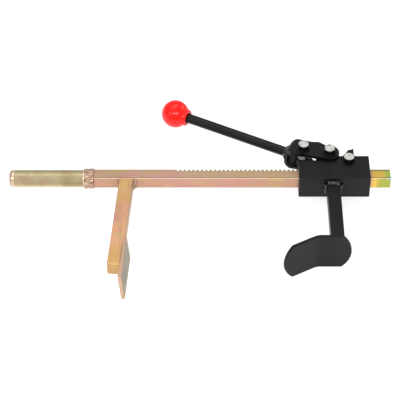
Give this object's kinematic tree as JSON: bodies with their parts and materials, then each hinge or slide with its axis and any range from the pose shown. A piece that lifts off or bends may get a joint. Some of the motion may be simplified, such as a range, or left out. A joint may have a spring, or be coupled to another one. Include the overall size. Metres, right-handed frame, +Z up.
{
  "type": "bead breaker",
  "caption": "Hand-operated tyre bead breaker: toothed square bar with a grip and fixed wedge jaw, and a ratchet slider with a curved shoe moved by a knobbed lever.",
  "frame": {"origin": "on the surface the tool lies on, under the middle of the whole tool's box", "axes": "+X along the bar from the grip to the slider end, +Y from the jaws towards the toothed side, +Z up through the bolt heads"},
  "size_m": [0.5512, 0.3692, 0.0622],
  "materials": {
    "plated_bar": "yellow passivated zinc plating with a salmon and olive bloom",
    "plated_grip": "knurled, zinc plated, dull olive gold",
    "plated_weld": "plated weld bead, lumpy",
    "black_paint": "satin black paint",
    "black_weld": "black paint over a rippled weld bead",
    "bright_bolt": "zinc plated, top face bright, sides dark",
    "dark_fastener": "dark satin",
    "spring_steel": "bright drawn steel",
    "red_knob": "glossy moulded plastic",
    "brass_insert": "turned"
  },
  "bodies": {
    "bar": {"main_bar": "plated_bar", "grip_handle": "plated_grip", "grip_weld": "plated_weld", "fixed_arm": "plated_bar", "fixed_arm_weld": "plated_weld", "wedge_plate": "plated_bar", "wedge_weld": "plated_weld"},
    "slider": {"slider_block": "black_paint", "shoe_arm": "black_paint", "shoe_arm_weld": "black_weld", "shoe_plate": "black_paint", "shoe_weld": "black_weld", "fulcrum_bolt": "bright_bolt", "hold_pawl_bolt": "bright_bolt", "slider_nuts": "dark_fastener", "slider_washers": "dark_fastener", "hold_pawl_spring": "spring_steel"},
    "lever": {"lever_yoke": "black_paint", "lever_rod": "black_paint", "lever_weld": "black_weld", "lever_knob": "red_knob", "knob_insert": "brass_insert", "drive_pawl_bolt": "bright_bolt", "drive_pawl_nut": "dark_fastener", "drive_pawl_washers": "dark_fastener", "drive_pawl_spacers": "spring_steel", "drive_pawl_spring": "spring_steel"},
    "drive_pawl": {"drive_pawl": "black_paint"},
    "hold_pawl": {"hold_pawl": "black_paint"}
  },
  "joints": [
    {"name": "slider_travel", "type": "slide", "parent": "bar", "child": "slider", "axis": [1, 0, 0], "range_m": [-0.1885, 0]},
    {"name": "lever_swing", "type": "hinge", "parent": "slider", "child": "lever", "pos_m": [0.188, 0.06022, 0.03], "axis": [0, 0, 1], "range_deg": [-36, 0]},
    {"name": "drive_pawl_lift", "type": "hinge", "parent": "lever", "child": "drive_pawl", "pos_m": [0.1506, 0.06922, 0.03], "axis": [0, 0, 1], "range_deg": [0, 18]},
    {"name": "hold_pawl_lift", "type": "hinge", "parent": "slider", "child": "hold_pawl", "pos_m": [0.2158, 0.04902, 0.03], "axis": [0, 0, 1], "range_deg": [0, 18], "stiffness_Nm_per_rad": 0.1, "springref_deg": -11.46}
  ],
  "couplings": [
    {"joint": "drive_pawl_lift", "follows": "lever_swing", "ratio": -0.5}
  ]
}
